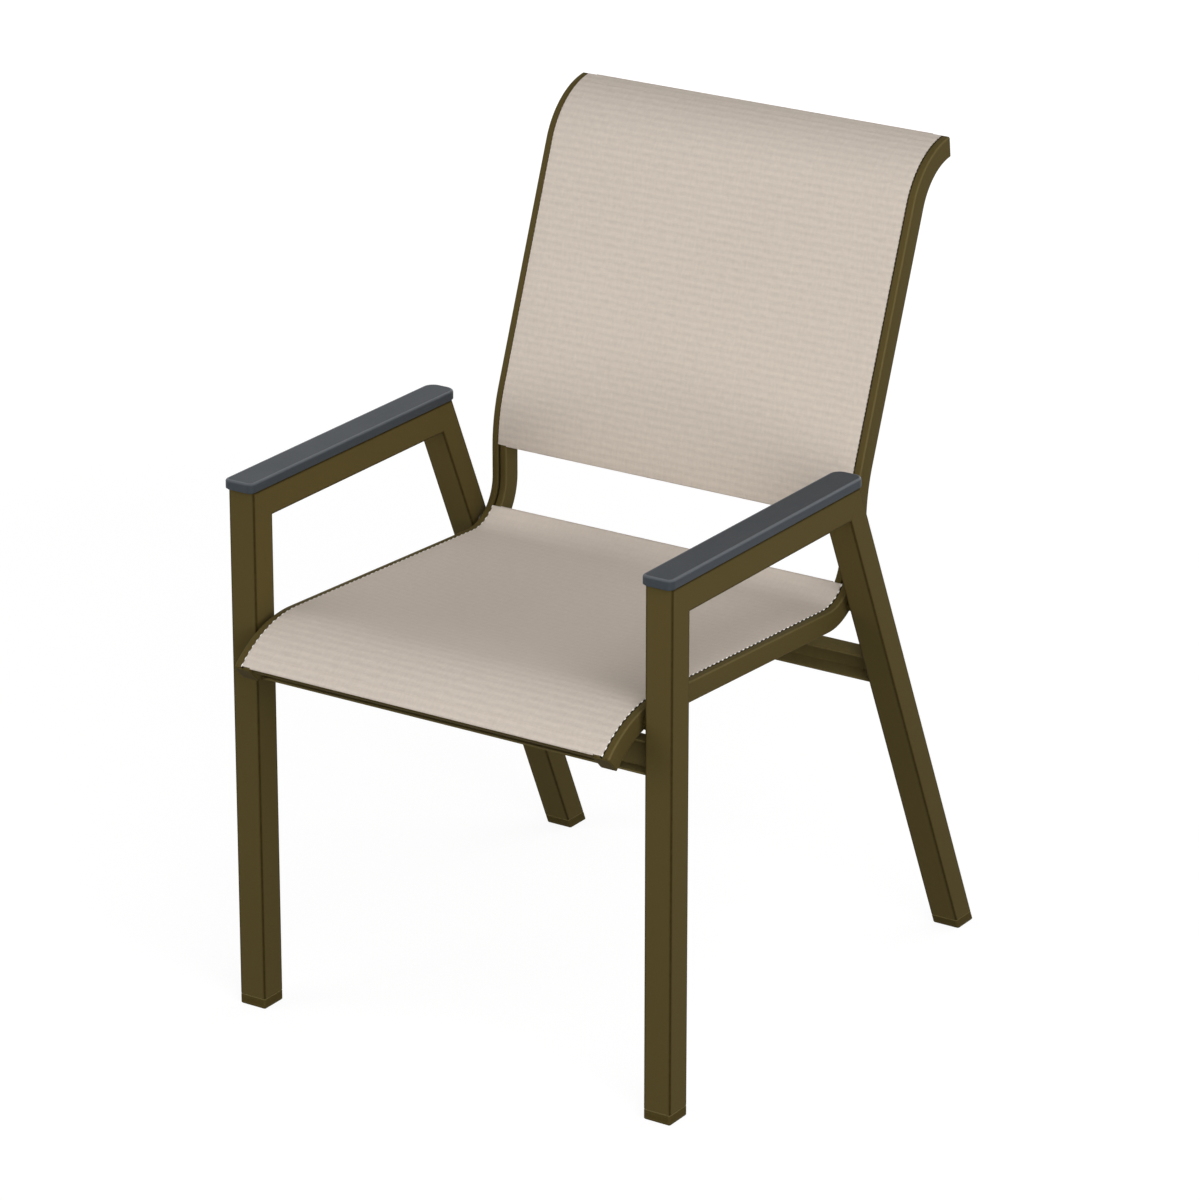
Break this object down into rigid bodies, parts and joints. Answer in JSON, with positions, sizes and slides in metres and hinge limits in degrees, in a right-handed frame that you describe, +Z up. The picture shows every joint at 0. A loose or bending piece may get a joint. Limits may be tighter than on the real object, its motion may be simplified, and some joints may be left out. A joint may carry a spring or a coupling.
{
  "type": "sling patio chair",
  "caption": "Outdoor dining chair with arms: square-tube side frames, capped arms, and fabric seat and back slings held in bent side rails with a rolled top.",
  "frame": {"origin": "on the floor, under the centre of the chair's bounding box", "axes": "+Z up, -Y the way the sitter faces, +X the sitter's left"},
  "size_m": [0.595, 0.7304, 0.9719],
  "materials": {
    "coated_frame": "fine-textured olive brown powder coat on aluminium tube and extrusion",
    "arm_cap": "slate grey, fine satin grain",
    "foot_plastic": "moulded, coloured to match the frame",
    "sling_fabric": "woven vinyl-coated mesh, beige with fine cross ribs",
    "spline": "extruded cord",
    "fixings": "plain stainless"
  },
  "bodies": {
    "root": {"front_leg_left": "coated_frame", "arm_rail_left": "coated_frame", "rear_leg_left": "coated_frame", "front_glide_left": "foot_plastic", "rear_glide_left": "foot_plastic", "arm_cap_left": "arm_cap", "arm_cap_screw_left_front": "fixings", "arm_cap_screw_left_rear": "fixings", "sling_rail_left": "coated_frame", "rail_plug_left_front": "foot_plastic", "rail_plug_left_top": "foot_plastic", "seat_spline_left": "spline", "back_spline_left": "spline", "leg_insert_left_front": "fixings", "rail_spacer_left_front": "foot_plastic", "rail_bolt_left_front": "fixings", "leg_insert_left_rear": "fixings", "rail_spacer_left_rear": "foot_plastic", "rail_bolt_left_rear": "fixings", "front_leg_right": "coated_frame", "arm_rail_right": "coated_frame", "rear_leg_right": "coated_frame", "front_glide_right": "foot_plastic", "rear_glide_right": "foot_plastic", "arm_cap_right": "arm_cap", "arm_cap_screw_right_front": "fixings", "arm_cap_screw_right_rear": "fixings", "sling_rail_right": "coated_frame", "rail_plug_right_front": "foot_plastic", "rail_plug_right_top": "foot_plastic", "seat_spline_right": "spline", "back_spline_right": "spline", "leg_insert_right_front": "fixings", "rail_spacer_right_front": "foot_plastic", "rail_bolt_right_front": "fixings", "leg_insert_right_rear": "fixings", "rail_spacer_right_rear": "foot_plastic", "rail_bolt_right_rear": "fixings", "front_crossbar": "coated_frame", "rear_crossbar": "coated_frame", "seat_sling": "sling_fabric", "back_sling": "sling_fabric", "seat_front_bar": "coated_frame", "seat_front_bar_plug_left": "foot_plastic", "seat_front_bar_plug_right": "foot_plastic", "seat_rear_bar": "coated_frame", "seat_rear_bar_plug_left": "foot_plastic", "seat_rear_bar_plug_right": "foot_plastic", "back_lower_bar": "coated_frame", "back_lower_bar_plug_left": "foot_plastic", "back_lower_bar_plug_right": "foot_plastic", "back_upper_bar": "coated_frame", "back_upper_bar_plug_left": "foot_plastic", "back_upper_bar_plug_right": "foot_plastic"}
  },
  "joints": []
}
